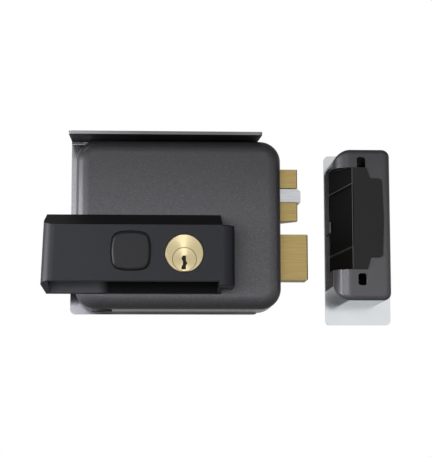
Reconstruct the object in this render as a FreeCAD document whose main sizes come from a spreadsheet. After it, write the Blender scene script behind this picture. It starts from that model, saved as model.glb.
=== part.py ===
import FreeCAD, Part
import math
import os
from types import SimpleNamespace

import Sketcher
from FreeCAD import Placement, Rotation, Vector

# Electric gate lock with its keeper, upright as it hangs on a gate, in millimetres.
# X runs to the keeper, Z runs up, and the gate's face is the plane Y = 0 with the lock in front of it,
# towards -Y. "Depth" below means the distance in front of that plane.
# The origin is the centre of the mounting plate's rear face.

SIZES = {
    # Mounting plate with its rain hood
    "plate_width": 120.0,
    "plate_margin": 1.0,
    "plate_thick": 2.0,
    "plate_corner": 3.0,
    "bend_inner": 2.0,
    "hood_reach": 46.0,
    "hood_drop": 3.4,
    "hood_clearance": 7.5,
    "hood_corner": 2.0,
    # Holes that fix the lock to the gate
    "fixing_left": -20.0,
    "fixing_right": 40.0,
    "fixing_inset": 7.5,
    "fixing_rise": 9.0,
    "fixing_radius": 3.2,
    "drive_bore_radius": 8.0,
    # Painted case
    "case_left": -55.5,
    "case_right": 72.0,
    "case_over_latch": 15.5,
    "case_under_deadbolt": 19.4,
    "case_depth": 41.0,
    "case_wall": 2.2,
    "case_corner": 13.0,
    "case_edge": 8.0,
    "base_thick": 3.7,
    "base_fit": 0.2,
    # Posts and screws that hold the case on its base
    "post_left": -47.5,
    "post_right": 61.0,
    "post_inset": 8.5,
    "post_rise": 10.0,
    "post_radius": 3.5,
    "case_screw_radius": 1.75,
    "case_screw_head": 3.1,
    "case_screw_head_high": 2.1,
    "case_screw_length": 14.0,
    "thread_fit": 0.02,
    # Guard cover over button and cylinder
    "guard_left": -72.8,
    "guard_right": 34.1,
    "guard_low": -47.2,
    "guard_top": 1.9,
    "guard_front_left": -76.4,
    "guard_front_lean": 2.4,
    "guard_front_low": -41.0,
    "guard_front_top": -7.4,
    "guard_depth": 66.0,
    "guard_wall": 2.2,
    "guard_end_radius": 7.5,
    "guard_front_edge": 0.8,
    "guard_back": 2.2,
    "guard_end_reach": 7.6,
    "guard_end_drop": 3.3,
    # Push button, its guide and its pin
    "button_middle": -21.1,
    "button_level": -23.3,
    "button_width": 23.2,
    "button_side_radius": 38.0,
    "button_corner": 5.0,
    "button_flange_corner": 7.0,
    "button_gap": 0.7,
    "button_flange": 1.4,
    "button_flange_thick": 3.0,
    "button_deep": 6.5,
    "button_proud": 1.2,
    "button_edge": 1.5,
    "button_guide_wall": 1.2,
    "button_guide_deep": 12.0,
    "button_travel": 4.0,
    "pin_radius": 2.5,
    "pin_socket": 3.0,
    "pin_play": 0.3,
    # Lock cylinder
    "cylinder_middle": 11.0,
    "cylinder_level": -24.6,
    "cylinder_radius": 11.6,
    "cylinder_rear": 25.0,
    "cylinder_flange_radius": 17.0,
    "cylinder_flange_thick": 4.0,
    "cylinder_proud": 0.2,
    "cylinder_chamfer": 0.5,
    "plug_drop": 3.8,
    "plug_radius": 7.15,
    "plug_fit": 0.05,
    "plug_rear": 26.7,
    "tail_radius": 4.0,
    "tail_rear": 7.2,
    "tail_slot": 1.6,
    "tail_slot_deep": 3.0,
    "key_slot": 1.8,
    "key_slot_high": 8.4,
    "key_slot_deep": 26.0,
    # Screws of guard and cylinder, driven from inside the case
    "guard_screw_radius": 1.5,
    "guard_screw_head": 2.8,
    "guard_screw_head_high": 1.8,
    "guard_screw_length": 10.0,
    "cylinder_screw_circle": 14.3,
    "cylinder_screw_angle": 30.0,
    "boss_radius": 3.5,
    "upper_boss_across": -44.5,
    "upper_boss_level": -13.5,
    "lower_boss_across": -32.6,
    "lower_boss_level": -36.0,
    # Rack and pinion of the deadbolt
    "gear_module": 1.0,
    "gear_teeth": 12,
    "rack_gaps_left": 2,
    "gear_addendum": 0.9,
    "gear_dedendum": 1.15,
    "gear_backlash": 0.1,
    "gear_angle": 25.0,
    "gear_rear": 9.0,
    "gear_wide": 13.4,
    "gear_hub_radius": 6.0,
    "gear_play": 0.3,
    # Bolts: they share one depth, and come out of the same end of the case
    "bolt_rear": 6.0,
    "bolt_thick": 16.0,
    "bolt_fit": 0.2,
    "deadbolt_reach": 18.4,
    "deadbolt_low": -36.6,
    "deadbolt_high": 29.0,
    "deadbolt_head": 40.0,
    "deadbolt_tail_top": -8.0,
    "deadbolt_tail_end": 0.0,
    "deadbolt_edge": 1.0,
    "guide_pin_across": 22.0,
    "guide_pin_level": -14.2,
    "guide_pin_radius": 2.0,
    "guide_pin_head": 4.0,
    "guide_pin_fit": 0.3,
    "latch_reach": 12.0,
    "latch_low": 1.2,
    "latch_high": 32.8,
    "latch_slot_low": 12.85,
    "latch_slot_high": 9.25,
    "latch_bridge_left": 33.0,
    "latch_bridge": 8.0,
    "latch_nose": 6.0,
    "latch_edge": 0.8,
    "latch_travel": 12.2,
    "latch_rod_low": 7.0,
    "latch_rod_high": 28.0,
    "cocking_reach": 14.1,
    "cocking_travel": 14.3,
    "cocking_length": 30.0,
    "cocking_fit": 0.5,
    "cocking_thick": 14.0,
    "cocking_bevel": 1.6,
    "rod_radius": 2.0,
    "rod_fit": 0.15,
    "rod_end": -13.0,
    "collar_radius": 4.0,
    "collar_thick": 3.0,
    "collar_right": 20.0,
    "bracket_left": -10.0,
    "bracket_thick": 2.0,
    "bracket_foot": 10.0,
    "bracket_low": 1.0,
    "bracket_high": 32.0,
    "guide_plate_thick": 2.8,
    "guide_plate_margin": 2.3,
    "guide_plate_depth": 25.0,
    # Springs of square wire
    "spring_wire": 0.8,
    "spring_seat": 0.05,
    "latch_spring_radius": 3.1,
    "latch_spring_turns": 9,
    "cocking_spring_radius": 3.1,
    "cocking_spring_turns": 7,
    "button_spring_radius": 4.2,
    "button_spring_turns": 5,
    # Electromagnet with a hinged armature, which the button's pin also moves
    "coil_middle": -39.5,
    "coil_level": 14.0,
    "coil_radius": 10.8,
    "bobbin_radius": 12.0,
    "bobbin_tube": 5.5,
    "bobbin_flange": 1.2,
    "bobbin_front": 24.0,
    "core_radius": 4.0,
    "core_front": 25.0,
    "yoke_thick": 2.0,
    "yoke_half": 9.5,
    "yoke_low": 2.5,
    "yoke_leg": 27.6,
    "yoke_leg_front": 24.5,
    "hinge_level": 33.5,
    "hinge_depth": 28.0,
    "hinge_pin_radius": 1.5,
    "hinge_fit": 0.05,
    "hinge_ear": 1.6,
    "hinge_side_play": 0.3,
    "armature_thick": 2.0,
    "armature_half": 7.2,
    "armature_end": -28.0,
    "armature_arm": 12.0,
    "armature_arm_right": -17.0,
    # Wiring and cable inlet
    "terminal_left": -51.0,
    "terminal_width": 24.0,
    "terminal_rise": 14.0,
    "terminal_high": 11.0,
    "terminal_thick": 12.0,
    "terminal_ways": 3,
    "terminal_screw_radius": 1.9,
    "gland_across": -39.2,
    "gland_behind_front": 14.6,
    "gland_hole": 5.5,
    "gland_flange": 6.4,
    "gland_flange_thick": 1.0,
    "gland_bore": 3.2,
    "gland_inner": 1.5,
    # Keeper on the post
    "keeper_left": 103.5,
    "keeper_right": 145.7,
    "keeper_low": -63.7,
    "keeper_top": 46.3,
    "keeper_plate": 2.5,
    "keeper_corner": 3.0,
    "box_left": 104.0,
    "box_right": 139.5,
    "box_low": -51.0,
    "box_top": 43.2,
    "box_depth": 46.0,
    "box_wall": 2.4,
    "box_lead_radius": 11.0,
    "box_side_radius": 4.0,
    "box_lead_corner": 11.0,
    "box_side_corner": 5.0,
    "box_edge": 3.0,
    "box_lead_inset": 5.0,
    "slot_inset": 18.1,
    "slot_under_top": 8.7,
    "slot_over_low": 12.9,
    "slot_wide": 5.4,
    "slot_high": 7.4,
    "slot_corner": 1.6,
    "box_post_inset": 7.0,
    "box_post_under_top": 7.7,
    "box_post_over_low": 8.0,
    "insert_low": -31.8,
    "insert_top": 31.5,
    "insert_rear": 24.0,
    "insert_proud": 1.0,
    "insert_ridge": 115.3,
    "insert_neck": 124.5,
    "insert_shoulder": 126.7,
    "insert_right": 134.1,
    "insert_bulge_top": 24.7,
    "insert_bulge_low": -24.5,
    "insert_corner": 2.4,
    "insert_fit": 0.15,
    "insert_bow": 0.9,
    "insert_step": 0.8,
    "insert_step_lean": 4.2,
    "insert_step_top": 20.5,
    "insert_step_low": -18.5,
    "window_margin": 1.0,
    "pocket_rear": 5.0,
}


class Size:
    """A length that knows both its value and the sheet expression that it follows."""

    def __init__(self, value, text):
        self.value = value
        self.text = text

    def __add__(self, other):
        other = as_size(other)
        return Size(self.value + other.value, "(%s + %s)" % (self.text, other.text))

    def __radd__(self, other):
        return as_size(other) + self

    def __sub__(self, other):
        other = as_size(other)
        return Size(self.value - other.value, "(%s - %s)" % (self.text, other.text))

    def __rsub__(self, other):
        return as_size(other) - self

    def __mul__(self, other):
        other = as_size(other)
        return Size(self.value * other.value, "(%s * %s)" % (self.text, other.text))

    def __rmul__(self, other):
        return as_size(other) * self

    def __truediv__(self, other):
        other = as_size(other)
        return Size(self.value / other.value, "(%s / %s)" % (self.text, other.text))

    def __neg__(self):
        return Size(-self.value, "(0 - %s)" % self.text)


def as_size(number):
    return number if isinstance(number, Size) else Size(float(number), repr(float(number)))


def cosine(angle):
    return Size(math.cos(math.radians(angle.value)), "cos(%s * 1deg)" % angle.text)


def sine(angle):
    return Size(math.sin(math.radians(angle.value)), "sin(%s * 1deg)" % angle.text)


def tangent(angle):
    return Size(math.tan(math.radians(angle.value)), "tan(%s * 1deg)" % angle.text)


doc = FreeCAD.newDocument("electric_gate_lock")
sheet = doc.addObject("Spreadsheet::Sheet", "Sizes")
dim = SimpleNamespace()
for row, (word, number) in enumerate(SIZES.items(), start=1):
    sheet.set("A%d" % row, str(number))
    sheet.setAlias("A%d" % row, word)
    setattr(dim, word, Size(float(number), "Sizes." + word))
doc.recompute()

NODES = []

# Lengths that several pieces share

plate_front = dim.plate_thick
base_front = dim.plate_thick + dim.base_thick
case_inner_front = dim.case_depth - dim.case_wall
guard_inner_front = dim.guard_depth - dim.guard_wall
bolt_front = dim.bolt_rear + dim.bolt_thick
bolt_axis = dim.bolt_rear + dim.bolt_thick / 2
plug_level = dim.cylinder_level - dim.plug_drop
gear_pitch_radius = dim.gear_module * dim.gear_teeth / 2
rack_pitch_line = plug_level + gear_pitch_radius
deadbolt_tip = dim.case_right + dim.deadbolt_reach
deadbolt_throw = gear_pitch_radius * math.pi
latch_tip = dim.case_right + dim.latch_reach
latch_top = dim.latch_low + dim.latch_high
case_top = latch_top + dim.case_over_latch
case_low = dim.deadbolt_low - dim.case_under_deadbolt
plate_top = case_top + dim.hood_clearance
plate_low = case_low - dim.plate_margin
terminal_low = case_low + dim.terminal_rise
button_rear = dim.guard_depth - dim.button_deep
button_guide_rear = dim.guard_depth - dim.button_guide_deep
gland_depth = dim.case_depth - dim.gland_behind_front
guard_back_front = dim.case_depth + dim.guard_back
latch_slot_top = dim.latch_slot_low + dim.latch_slot_high
cocking_tip = dim.case_right + dim.cocking_reach
cocking_level = dim.latch_slot_low + dim.latch_slot_high / 2
cocking_half = dim.latch_slot_high / 2 - dim.cocking_fit
bracket_right = dim.bracket_left + dim.bracket_thick
armature_rear = dim.hinge_depth - dim.armature_thick / 2
armature_front = dim.hinge_depth + dim.armature_thick / 2
pin_rear = armature_front + dim.pin_play
box_inner_front = dim.box_depth - dim.box_wall
insert_front = dim.box_depth + dim.insert_proud
slot_across = dim.box_right - dim.slot_inset
slot_upper = dim.box_top - dim.slot_under_top
slot_lower = dim.box_low + dim.slot_over_low
box_post_across = dim.box_right - dim.box_post_inset
box_post_upper = dim.box_top - dim.box_post_under_top
box_post_lower = dim.box_low + dim.box_post_over_low


# Drawing and feature helpers

def bind(thing, name, size):
    """Tie a property to the sheet."""
    thing.setExpression(name, as_size(size).text)


def new_body(label, separate=False):
    """A body whose Label names its node. Separate solids are allowed in a set of like fasteners."""
    body = doc.addObject("PartDesign::Body", label)
    body.Label = label
    body.AllowCompound = separate
    NODES.append(body)
    return body


def place_body(body, across=0, depth=0, level=0):
    """Move a body's own origin to a point of the lock."""
    bind(body, "Placement.Base.x", across)
    bind(body, "Placement.Base.y", -as_size(depth))
    bind(body, "Placement.Base.z", level)


def sketch(body, plane, offset=0):
    """A sketch on one of the body's planes, moved along its normal.

    FRONT faces -Y and its axes are X and Z, PLAN faces +Z with X and Y, SIDE faces +X with Y and Z.
    """
    role = {"FRONT": "XZ_Plane", "PLAN": "XY_Plane", "SIDE": "YZ_Plane"}[plane]
    support = [feature for feature in body.Origin.OriginFeatures if feature.Role == role][0]
    drawing = body.newObject("Sketcher::SketchObject", "Sketch")
    drawing.AttachmentSupport = (support, [""])
    drawing.MapMode = "FlatFace"
    bind(drawing, "AttachmentOffset.Base.z", offset)
    return drawing


def datum(drawing, constraint, size):
    index = drawing.addConstraint(constraint)
    drawing.setExpression("Constraints[%d]" % index, as_size(size).text)


def fix_point(drawing, geometry, position, across, up):
    across, up = as_size(across), as_size(up)
    datum(drawing, Sketcher.Constraint("DistanceX", -1, 1, geometry, position, across.value), across)
    datum(drawing, Sketcher.Constraint("DistanceY", -1, 1, geometry, position, up.value), up)


def polygon(drawing, points):
    """A closed outline of straight lines with every corner tied to the sheet."""
    points = [(as_size(across), as_size(up)) for across, up in points]
    corners = [Vector(across.value, up.value, 0) for across, up in points]
    first = drawing.GeometryCount
    count = len(corners)
    for index in range(count):
        drawing.addGeometry(Part.LineSegment(corners[index], corners[(index + 1) % count]))
    for index in range(count):
        joint = Sketcher.Constraint("Coincident", first + index, 2, first + (index + 1) % count, 1)
        drawing.addConstraint(joint)
    for index, (across, up) in enumerate(points):
        fix_point(drawing, first + index, 1, across, up)


def rectangle(drawing, left, low, right, top):
    polygon(drawing, [(left, low), (right, low), (right, top), (left, top)])


def rounded(drawing, left, low, right, top, radius, left_radius=None):
    """A rectangle with round corners, which may have another radius at the left."""
    left, low, right, top, radius = [as_size(size) for size in (left, low, right, top, radius)]
    left_radius = radius if left_radius is None else as_size(left_radius)
    centres = [
        (right - radius, low + radius, -90, radius),
        (right - radius, top - radius, 0, radius),
        (left + left_radius, top - left_radius, 90, left_radius),
        (left + left_radius, low + left_radius, 180, left_radius),
    ]
    arcs = []
    for across, up, start, corner in centres:
        circle_shape = Part.Circle(Vector(across.value, up.value, 0), Vector(0, 0, 1), corner.value)
        arc = Part.ArcOfCircle(circle_shape, math.radians(start), math.radians(start + 90))
        arcs.append(drawing.addGeometry(arc))
    for index, arc in enumerate(arcs):
        following = arcs[(index + 1) % 4]
        begin = drawing.getPoint(arc, 2)
        end = drawing.getPoint(following, 1)
        line = drawing.addGeometry(Part.LineSegment(begin, end))
        drawing.addConstraint(Sketcher.Constraint("Tangent", arc, 2, line, 1))
        drawing.addConstraint(Sketcher.Constraint("Tangent", line, 2, following, 1))
    for arc, (across, up, _, corner) in zip(arcs, centres):
        fix_point(drawing, arc, 3, across, up)
        datum(drawing, Sketcher.Constraint("Radius", arc, corner.value), corner)


def bowed_square(drawing, across, up, half, side_radius, corner):
    """A square with bowed sides and round corners, centred on a point."""
    across, up, half, side_radius, corner = [
        as_size(size) for size in (across, up, half, side_radius, corner)]
    arcs = []
    offset = side_radius - half
    for start in (0, 90, 180, 270):
        heading = Vector(round(math.cos(math.radians(start))), round(math.sin(math.radians(start))), 0)
        aside = (across - offset * heading.x, up - offset * heading.y)
        shape = Part.Circle(Vector(aside[0].value, aside[1].value, 0), Vector(0, 0, 1), side_radius.value)
        bow = drawing.addGeometry(
            Part.ArcOfCircle(shape, math.radians(start - 10), math.radians(start + 10)))
        fix_point(drawing, bow, 3, *aside)
        datum(drawing, Sketcher.Constraint("Radius", bow, side_radius.value), side_radius)
        arcs.append(bow)
    reach = (half - corner).value * 0.93
    for index, start in enumerate((0, 90, 180, 270)):
        diagonal = math.radians(start + 45)
        centre = Vector(across.value + math.copysign(reach, math.cos(diagonal)),
                        up.value + math.copysign(reach, math.sin(diagonal)), 0)
        shape = Part.Circle(centre, Vector(0, 0, 1), corner.value)
        turn = drawing.addGeometry(
            Part.ArcOfCircle(shape, math.radians(start + 10), math.radians(start + 80)))
        drawing.addConstraint(Sketcher.Constraint("Tangent", arcs[index], 2, turn, 1))
        drawing.addConstraint(Sketcher.Constraint("Tangent", turn, 2, arcs[(index + 1) % 4], 1))
        datum(drawing, Sketcher.Constraint("Radius", turn, corner.value), corner)


def circle(drawing, across, up, radius):
    across, up, radius = as_size(across), as_size(up), as_size(radius)
    shape = Part.Circle(Vector(across.value, up.value, 0), Vector(0, 0, 1), radius.value)
    index = drawing.addGeometry(shape)
    fix_point(drawing, index, 3, across, up)
    datum(drawing, Sketcher.Constraint("Radius", index, radius.value), radius)


def pad(body, drawing, length):
    """Material along the sketch's normal."""
    feature = body.newObject("PartDesign::Pad", "Pad")
    feature.Profile = drawing
    bind(feature, "Length", length)
    doc.recompute()
    return feature


def cut(body, drawing, length):
    """A pocket along the sketch's normal, which has to take material away."""
    before = body.Tip.Shape.Volume
    feature = body.newObject("PartDesign::Pocket", "Pocket")
    feature.Profile = drawing
    feature.Reversed = True
    bind(feature, "Length", length)
    doc.recompute()
    if feature.Shape.Volume > before - 1e-6:
        raise RuntimeError("%s: a pocket cuts nothing" % body.Label)
    return feature


def edges(feature, along=None, **places):
    """Names of the edges that lie at the given x, y or z, and run along one axis if that is given."""
    found = []
    for number, edge in enumerate(feature.Shape.Edges, start=1):
        box = edge.BoundBox
        spans = {"x": (box.XMin, box.XMax), "y": (box.YMin, box.YMax), "z": (box.ZMin, box.ZMax)}
        if along and any(spans[axis][1] - spans[axis][0] > 0.01 for axis in "xyz" if axis != along):
            continue
        if along and spans[along][1] - spans[along][0] < 0.05:
            continue
        wanted = {axis: as_size(place).value for axis, place in places.items()}
        if all(max(abs(end - wanted[axis]) for end in spans[axis]) < 0.02 for axis in wanted):
            found.append("Edge%d" % number)
    return found


def dress(body, kind, radius, names):
    """A fillet or chamfer on named edges of the body's last feature."""
    if not names:
        raise RuntimeError("%s: no edge to dress" % body.Label)
    base = body.Tip
    feature = body.newObject("PartDesign::" + kind, kind)
    feature.Base = (base, names)
    bind(feature, "Radius" if kind == "Fillet" else "Size", radius)
    doc.recompute()
    return feature


def front_pad(body, draw, start, end):
    """Pad an outline between two depths. draw puts the outline into the sketch."""
    drawing = sketch(body, "FRONT", start)
    draw(drawing)
    return pad(body, drawing, as_size(end) - start)


def front_cut(body, draw, start, end):
    """Cut an outline between two depths."""
    drawing = sketch(body, "FRONT", start)
    draw(drawing)
    return cut(body, drawing, as_size(end) - start)


def rod(label, radius, length, across, depth, level, along):
    """A plain round bar from a point of the lock, along x (to the right) or y (to the rear)."""
    bar = doc.addObject("Part::Cylinder", label)
    bar.Label = label
    bind(bar, "Radius", radius)
    bind(bar, "Height", length)
    turn = {"x": Rotation(Vector(0, 1, 0), 90), "y": Rotation(Vector(1, 0, 0), -90)}[along]
    bar.Placement = Placement(Vector(), turn)
    place_body(bar, across, depth, level)
    return bar


def group(label, pieces):
    """One node of several like solids."""
    compound = doc.addObject("Part::Compound", label)
    compound.Label = label
    compound.Links = pieces
    NODES.append(compound)
    return compound


MARGIN = 1.0
screw_posts = [
    (dim.post_left, case_top - dim.post_inset),
    (dim.post_right, case_top - dim.post_inset),
    (dim.post_left, case_low + dim.post_rise),
    (dim.post_right, case_low + dim.post_rise),
]
fixing_holes = [
    (dim.fixing_left, case_top - dim.fixing_inset),
    (dim.fixing_right, case_top - dim.fixing_inset),
    (dim.fixing_left, case_low + dim.fixing_rise),
    (dim.fixing_right, case_low + dim.fixing_rise),
]
guard_bosses = [
    (dim.upper_boss_across, dim.upper_boss_level),
    (dim.lower_boss_across, dim.lower_boss_level),
]
cylinder_screw_level = dim.cylinder_level + dim.cylinder_screw_circle * sine(dim.cylinder_screw_angle)
cylinder_screw_reach = dim.cylinder_screw_circle * cosine(dim.cylinder_screw_angle)
cylinder_screws = [
    (dim.cylinder_middle - cylinder_screw_reach, cylinder_screw_level),
    (dim.cylinder_middle + cylinder_screw_reach, cylinder_screw_level),
]


def circles(places, radius):
    """A drawing of equal circles at several places."""
    def draw(drawing):
        for across, level in places:
            circle(drawing, across, level, radius)
    return draw


def screw_set(label, places, head_start, head_length, head_radius, shank_radius, shank_end):
    """Cheese-head screws with their heads to the rear and their shanks to the front."""
    body = new_body(label, separate=True)
    front_pad(body, circles(places, head_radius), head_start, head_start + head_length)
    front_pad(body, circles(places, shank_radius), head_start + head_length, shank_end)
    return body


# Mounting plate: one bent sheet with the rain hood along its top

def mounting_plate():
    body = new_body("mounting_plate")
    half_width = dim.plate_width / 2
    hood_front_top = plate_top - dim.hood_drop
    bend_level = plate_top - dim.plate_thick * (1 + dim.hood_drop / dim.hood_reach)
    side = sketch(body, "SIDE", -half_width)
    polygon(side, [
        (0, plate_low),
        (0, plate_top),
        (-dim.hood_reach, hood_front_top),
        (-dim.hood_reach, hood_front_top - dim.plate_thick),
        (-dim.plate_thick, bend_level),
        (-dim.plate_thick, plate_low),
    ])
    sheet_metal = pad(body, side, dim.plate_width)
    inner_bend = edges(sheet_metal, "x", y=-dim.plate_thick, z=bend_level)
    bent = dress(body, "Fillet", dim.bend_inner, inner_bend)
    bent = dress(body, "Fillet", dim.bend_inner + dim.plate_thick, edges(bent, "x", y=0, z=plate_top))
    for end in (-half_width, half_width):
        bent = dress(body, "Fillet", dim.plate_corner, edges(bent, "y", x=end, z=plate_low))
        bent = dress(body, "Fillet", dim.hood_corner, edges(bent, "z", x=end, y=-dim.hood_reach))
    front_cut(body, circles(fixing_holes, dim.fixing_radius), -MARGIN, plate_front + MARGIN)
    drive_bore = circles([(dim.cylinder_middle, plug_level)], dim.drive_bore_radius)
    front_cut(body, drive_bore, -MARGIN, plate_front + MARGIN)


def case_outline(inset):
    """The case's outline in front view, moved inwards by inset."""
    def draw(drawing):
        rounded(drawing, dim.case_left + inset, case_low + inset, dim.case_right - inset,
                case_top - inset, dim.case_corner - inset)
    return draw


# Base: the flat rear of the case, which carries the mechanism

def lock_base():
    body = new_body("lock_base")
    front_pad(body, case_outline(dim.case_wall + dim.base_fit), plate_front, base_front)
    front_cut(body, circles(fixing_holes, dim.fixing_radius), plate_front - MARGIN, base_front + MARGIN)
    drive_bore = circles([(dim.cylinder_middle, plug_level)], dim.drive_bore_radius)
    front_cut(body, drive_bore, plate_front - MARGIN, base_front + MARGIN)
    clearance = dim.case_screw_radius + dim.rod_fit
    front_cut(body, circles(screw_posts, clearance), plate_front - MARGIN, base_front + MARGIN)
    counterbore = dim.case_screw_head + dim.rod_fit
    front_cut(body, circles(screw_posts, counterbore), plate_front - MARGIN,
              plate_front + dim.case_screw_head_high)
    pin_hole = circles([(dim.guide_pin_across, dim.guide_pin_level)], dim.guide_pin_radius)
    front_cut(body, pin_hole, plate_front + MARGIN, base_front + MARGIN)


# Painted case: a deep rounded shell with screw posts, bolt windows and a cable hole

def case_cover():
    body = new_body("case_cover")
    front_pad(body, case_outline(0), plate_front, dim.case_depth)
    shell = front_cut(body, case_outline(dim.case_wall), plate_front - MARGIN, case_inner_front)
    shell = dress(body, "Fillet", dim.case_edge - dim.case_wall, edges(shell, y=-case_inner_front))
    dress(body, "Fillet", dim.case_edge, edges(shell, y=-dim.case_depth))
    front_pad(body, circles(screw_posts, dim.post_radius), base_front, case_inner_front + dim.case_wall / 2)
    thread = dim.case_screw_radius + dim.thread_fit
    front_cut(body, circles(screw_posts, thread), base_front - MARGIN,
              plate_front + dim.case_screw_head_high + dim.case_screw_length + MARGIN)
    pin_hole = circles([(dim.button_middle, dim.button_level)], dim.pin_radius + dim.rod_fit)
    front_cut(body, pin_hole, case_inner_front - MARGIN, dim.case_depth + MARGIN)
    cylinder_hole = circles([(dim.cylinder_middle, dim.cylinder_level)],
                            dim.cylinder_radius + dim.rod_fit)
    front_cut(body, cylinder_hole, case_inner_front - MARGIN, dim.case_depth + MARGIN)
    screw_holes = circles(guard_bosses + cylinder_screws, dim.guard_screw_radius + dim.rod_fit)
    front_cut(body, screw_holes, case_inner_front - MARGIN, dim.case_depth + MARGIN)
    windows = sketch(body, "SIDE", dim.case_right - dim.case_wall - MARGIN)
    bolt_windows(windows)
    cut(body, windows, dim.case_wall + 2 * MARGIN)
    below = sketch(body, "PLAN", case_low - MARGIN)
    circle(below, dim.gland_across, -gland_depth, dim.gland_hole + dim.rod_fit)
    cut(body, below, dim.case_wall + 2 * MARGIN)


def bolt_windows(drawing):
    """The two windows that the bolts pass through, in side view."""
    front = -(bolt_front + dim.bolt_fit)
    rear = -(dim.bolt_rear - dim.bolt_fit)
    deadbolt_top = dim.deadbolt_low + dim.deadbolt_high
    rectangle(drawing, front, dim.deadbolt_low - dim.bolt_fit, rear, deadbolt_top + dim.bolt_fit)
    rectangle(drawing, front, dim.latch_low - dim.bolt_fit, rear, latch_top + dim.bolt_fit)


def bolt_guide():
    """A steel plate behind the end wall that guides all bolts."""
    body = new_body("bolt_guide")
    right = dim.case_right - dim.case_wall
    side = sketch(body, "SIDE", right - dim.guide_plate_thick)
    rectangle(side, -dim.guide_plate_depth, dim.deadbolt_low - dim.guide_plate_margin, -base_front,
              latch_top + dim.guide_plate_margin)
    pad(body, side, dim.guide_plate_thick)
    windows = sketch(body, "SIDE", right - dim.guide_plate_thick - MARGIN)
    bolt_windows(windows)
    cut(body, windows, dim.guide_plate_thick + 2 * MARGIN)


# Guard cover: a drafted moulded shell over button and cylinder, open below for the fingers

def guard_cover():
    body = new_body("guard_cover")

    def section(depth, inset):
        """The guard's outline at its rear or its front end, moved inwards by inset."""
        drawing = sketch(body, "FRONT", depth)
        right = dim.guard_right - inset
        if depth.value > dim.case_depth.value:
            left = dim.guard_front_left + inset
            low = dim.guard_front_low + inset
            top = dim.guard_front_top - inset
            polygon(drawing, [(left, low), (right, low), (right, top), (left + dim.guard_front_lean, top)])
        else:
            rectangle(drawing, dim.guard_left + inset, dim.guard_low + inset, right, dim.guard_top - inset)
        return drawing

    def loft(kind, sections):
        feature = body.newObject("PartDesign::" + kind, kind)
        feature.Profile = sections[0]
        feature.Sections = sections[1:]
        feature.Ruled = True
        doc.recompute()
        return feature

    def round_left_end(shell, depth, radius, limit):
        """Round the upright edge at the left end that lies at a depth, left of a limit."""
        ends = [name for name in edges(shell, y=-depth)
                if shell.Shape.getElement(name).BoundBox.XMax < limit.value]
        return dress(body, "Fillet", radius, ends)

    loft("AdditiveLoft", [section(dim.case_depth, 0), section(dim.guard_depth, 0)])
    shell = loft("SubtractiveLoft", [section(dim.case_depth, dim.guard_wall),
                                     section(guard_inner_front, dim.guard_wall)])
    inner_limit = dim.guard_left + dim.guard_wall
    shell = round_left_end(shell, guard_inner_front, dim.guard_end_radius - dim.guard_wall, inner_limit)
    round_left_end(shell, dim.guard_depth, dim.guard_end_radius, dim.guard_left)
    guard_end(body)
    half_wall = dim.guard_wall / 2

    def back(drawing):
        rectangle(drawing, dim.guard_left + half_wall, dim.guard_low + half_wall,
                  dim.guard_right - half_wall, dim.guard_top - half_wall)

    front_pad(body, back, dim.case_depth, guard_back_front)
    button_guide(body)
    cylinder_housing(body)
    upper_boss = circles(guard_bosses[:1], dim.boss_radius)
    front_pad(body, upper_boss, dim.case_depth, guard_inner_front + half_wall)
    bore = circles([(dim.cylinder_middle, dim.cylinder_level)], dim.cylinder_radius + dim.rod_fit)
    front_cut(body, bore, dim.case_depth - MARGIN, dim.guard_depth + MARGIN)
    threads = circles(guard_bosses + cylinder_screws, dim.guard_screw_radius + dim.thread_fit)
    front_cut(body, threads, dim.case_depth - MARGIN, dim.case_depth + dim.guard_screw_length)
    finger_window(body)


def guard_end(body):
    """The guard's right end: the front wraps round it and drops below the rest of the front."""
    right = dim.guard_right + dim.guard_end_reach
    low = dim.guard_front_low - dim.guard_end_drop
    left = dim.guard_right - dim.guard_wall

    def block(drawing):
        rectangle(drawing, left, low, right, dim.guard_front_top)

    end = front_pad(body, block, dim.case_depth, dim.guard_depth)
    end = dress(body, "Fillet", dim.guard_end_radius - dim.rod_fit, edges(end, "z", x=right, y=-dim.guard_depth))
    dress(body, "Fillet", dim.guard_front_edge, edges(end, "y", x=right))


def button_guide(body):
    """The square guide of the button inside the guard, with the lower screw boss behind it."""
    hole_half = dim.button_width / 2 + dim.button_gap
    inner_half = dim.button_width / 2 + dim.button_flange + dim.rod_fit
    outer_half = inner_half + dim.button_guide_wall
    front_pad(body, button_square(outer_half), button_guide_rear,
              guard_inner_front + dim.guard_wall / 2)
    boss = circles(guard_bosses[1:], dim.boss_radius)
    front_pad(body, boss, dim.case_depth, button_guide_rear + dim.button_guide_wall)
    front_cut(body, button_square(inner_half), button_guide_rear + dim.button_guide_wall,
              guard_inner_front)
    front_cut(body, button_face(hole_half, dim.button_gap), guard_inner_front - MARGIN,
              dim.guard_depth + MARGIN)
    pin_way = circles([(dim.button_middle, dim.button_level)],
                      dim.button_spring_radius + dim.spring_wire)
    front_cut(body, pin_way, dim.case_depth - MARGIN,
              button_guide_rear + dim.button_guide_wall + MARGIN)


def cylinder_housing(body):
    """The moulded block round the cylinder inside the guard."""
    half = dim.cylinder_screw_circle + dim.guard_screw_radius + MARGIN
    low = dim.guard_front_low + dim.guard_wall / 2

    def draw(drawing):
        rectangle(drawing, dim.cylinder_middle - half, low, dim.cylinder_middle + half,
                  cylinder_screw_level + dim.boss_radius)
    front_pad(body, draw, dim.case_depth, guard_inner_front + dim.guard_wall / 2)


def finger_window(body):
    """The opening in the guard's underside, in front of its back wall."""
    below = sketch(body, "PLAN", dim.guard_low - MARGIN)
    rectangle(below, dim.guard_left + dim.guard_wall, -guard_inner_front,
              dim.guard_right - dim.guard_wall, -guard_back_front)
    cut(body, below, dim.guard_front_low - dim.guard_low + MARGIN + dim.guard_wall / 2)


# Push button, its pin and its spring

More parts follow.
